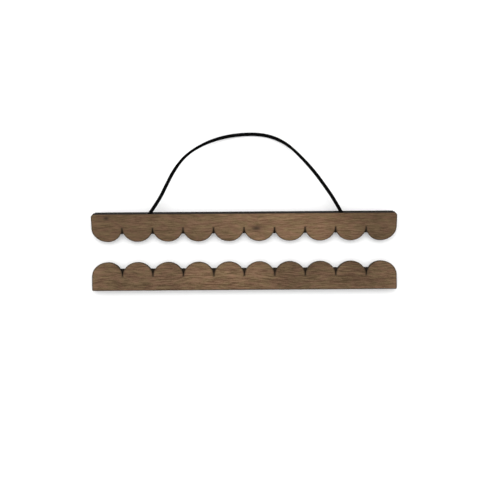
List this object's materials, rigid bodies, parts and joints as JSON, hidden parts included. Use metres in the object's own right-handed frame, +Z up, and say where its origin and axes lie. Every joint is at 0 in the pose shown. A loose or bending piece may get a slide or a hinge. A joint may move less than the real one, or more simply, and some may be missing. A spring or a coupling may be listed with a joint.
{
  "type": "magnetic poster hanger",
  "caption": "Scalloped wooden poster hanger: two rails, each a front and a back slat that clamp a print with magnets, and a hanging cord.",
  "frame": {"origin": "on the surface it lies on, under the middle of the box round both rails, cord left out", "axes": "+X along the rails to the right, +Y from the lower rail to the cord, +Z up from the surface, out of the scalloped faces"},
  "size_m": [0.31, 0.1606, 0.0166],
  "materials": {
    "walnut_front": "matt walnut veneer with laser-charred edges",
    "walnut_back": "matt dark walnut veneer with laser-charred edges",
    "magnet_nickel": "nickel plate",
    "cord_black": "braided flat lace"
  },
  "bodies": {
    "upper_back": {"upper_back_slat": "walnut_back", "upper_back_magnet_1": "magnet_nickel", "upper_back_magnet_2": "magnet_nickel", "upper_back_magnet_3": "magnet_nickel", "upper_back_magnet_4": "magnet_nickel", "hanging_cord": "cord_black", "cord_lead_left": "cord_black", "cord_lead_right": "cord_black", "cord_knot_left": "cord_black", "cord_knot_right": "cord_black"},
    "upper_front": {"upper_front_slat": "walnut_front", "upper_front_magnet_1": "magnet_nickel", "upper_front_magnet_2": "magnet_nickel", "upper_front_magnet_3": "magnet_nickel", "upper_front_magnet_4": "magnet_nickel"},
    "lower_back": {"lower_back_slat": "walnut_back", "lower_back_magnet_1": "magnet_nickel", "lower_back_magnet_2": "magnet_nickel", "lower_back_magnet_3": "magnet_nickel", "lower_back_magnet_4": "magnet_nickel"},
    "lower_front": {"lower_front_slat": "walnut_front", "lower_front_magnet_1": "magnet_nickel", "lower_front_magnet_2": "magnet_nickel", "lower_front_magnet_3": "magnet_nickel", "lower_front_magnet_4": "magnet_nickel"}
  },
  "joints": [
    {"name": "upper_front_off", "type": "slide", "parent": "upper_back", "child": "upper_front", "axis": [0, -0.2934, 0.956], "range_m": [0, 0.05]},
    {"name": "lower_rail_spread", "type": "slide", "parent": "upper_back", "child": "lower_back", "axis": [0, -1, 0], "range_m": [0, 0.4]},
    {"name": "lower_front_off", "type": "slide", "parent": "lower_back", "child": "lower_front", "axis": [0, 0, 1], "range_m": [0, 0.05]}
  ]
}
